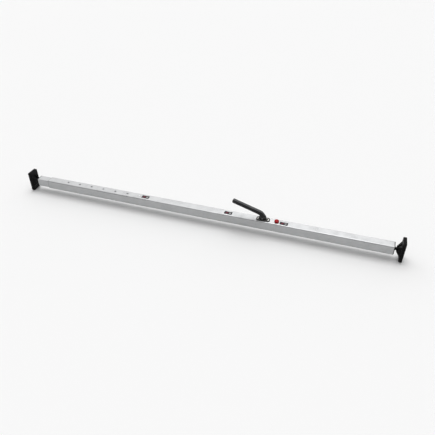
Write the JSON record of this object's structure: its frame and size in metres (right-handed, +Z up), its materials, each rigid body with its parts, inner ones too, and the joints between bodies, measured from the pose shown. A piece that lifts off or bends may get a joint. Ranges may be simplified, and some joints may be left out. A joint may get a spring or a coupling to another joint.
{
  "type": "bed cargo bar",
  "caption": "Square telescoping cargo bar with adjusting holes, a bent hand lever, a round release button and a swivelling rubber foot at each end.",
  "frame": {"origin": "midway between the two foot faces, on the centre plane, on the plane that the feet stand on", "axes": "+X along the bar towards the lever's end, +Y across the bar towards its back, +Z up"},
  "size_m": [1.626, 0.05, 0.1344],
  "materials": {
    "tube": "satin clear anodised",
    "steel": "zinc plated",
    "black_steel": "black powder coat",
    "grip": "moulded, lightly grained",
    "black_plastic": "moulded, fine texture",
    "nylon": "natural nylon",
    "rubber": "moulded rubber",
    "red_plastic": "semi-gloss red",
    "sticker": "printed vinyl"
  },
  "bodies": {
    "bar": {"outer_tube": "tube", "mouth_bush": "black_plastic", "end_cap": "black_plastic", "cap_screws": "steel", "mechanism_frame": "steel", "frame_screws": "steel", "rack_guide": "nylon", "lever_pin": "steel", "lock_pin": "steel", "lever_bezel": "black_plastic", "button_guide": "black_plastic", "slot_liner": "nylon", "lever_spring": "steel", "button_spring": "steel", "lock_spring": "steel", "label_left": "sticker", "label_middle": "sticker", "label_right": "sticker"},
    "extension": {"inner_tube": "tube", "tail_bush": "black_plastic", "left_end_plug": "black_plastic", "plug_screws": "steel", "left_eye_bolt": "black_steel", "spring_seat": "nylon", "snap_spring": "steel"},
    "snap": {"snap_button": "steel"},
    "left_foot": {"left_foot_bracket": "black_steel", "left_foot_pad": "rubber", "left_foot_pin": "steel", "left_pad_screws": "black_steel"},
    "lever": {"lever_arm": "black_steel", "lever_grip": "grip", "drive_sector": "steel", "sector_rivets": "steel"},
    "rod": {"rack_bar": "steel", "slider_block": "nylon", "slider_pins": "steel", "push_rod": "black_steel"},
    "right_foot": {"right_foot_bracket": "black_steel", "right_foot_pad": "rubber", "right_foot_pin": "steel", "right_pad_screws": "black_steel"},
    "button": {"release_button": "red_plastic", "button_clip": "steel"},
    "lock": {"lock_plate": "steel"}
  },
  "joints": [
    {"name": "extend", "type": "slide", "parent": "bar", "child": "extension", "axis": [-1, 0, 0], "range_m": [0, 0.351]},
    {"name": "snap_press", "type": "slide", "parent": "extension", "child": "snap", "axis": [0, 0, -1], "range_m": [0, 0.0045], "stiffness_N_per_m": 60, "springref_m": -0.005, "deforming": ["snap_spring"]},
    {"name": "left_foot_tilt", "type": "hinge", "parent": "extension", "child": "left_foot", "pos_m": [-0.792, 0, 0.044], "axis": [0, 1, 0], "range_deg": [-8, 8], "stiffness_Nm_per_rad": 15},
    {"name": "lever_swing", "type": "hinge", "parent": "bar", "child": "lever", "pos_m": [0.272, 0, 0.05], "axis": [0, 1, 0], "range_deg": [-14, 24], "stiffness_Nm_per_rad": 1, "deforming": ["lever_spring"]},
    {"name": "rod_travel", "type": "slide", "parent": "bar", "child": "rod", "axis": [1, 0, 0], "range_m": [-0.0048, 0.0028]},
    {"name": "right_foot_tilt", "type": "hinge", "parent": "rod", "child": "right_foot", "pos_m": [0.792, 0, 0.044], "axis": [0, 1, 0], "range_deg": [-8, 8], "stiffness_Nm_per_rad": 15},
    {"name": "button_press", "type": "slide", "parent": "bar", "child": "button", "axis": [0, 0, -1], "range_m": [0, 0.002], "stiffness_N_per_m": 100, "springref_m": -0.005, "deforming": ["button_spring"]},
    {"name": "lock_release", "type": "hinge", "parent": "bar", "child": "lock", "pos_m": [0.314, 0, 0.047], "axis": [0, 1, 0], "range_deg": [0, 9.6], "deforming": ["lock_spring"]}
  ],
  "couplings": [
    {"joint": "rod_travel", "follows": "lever_swing", "m_per_rad": -0.011},
    {"joint": "lock_release", "follows": "button_press", "rad_per_m": 83.339}
  ]
}
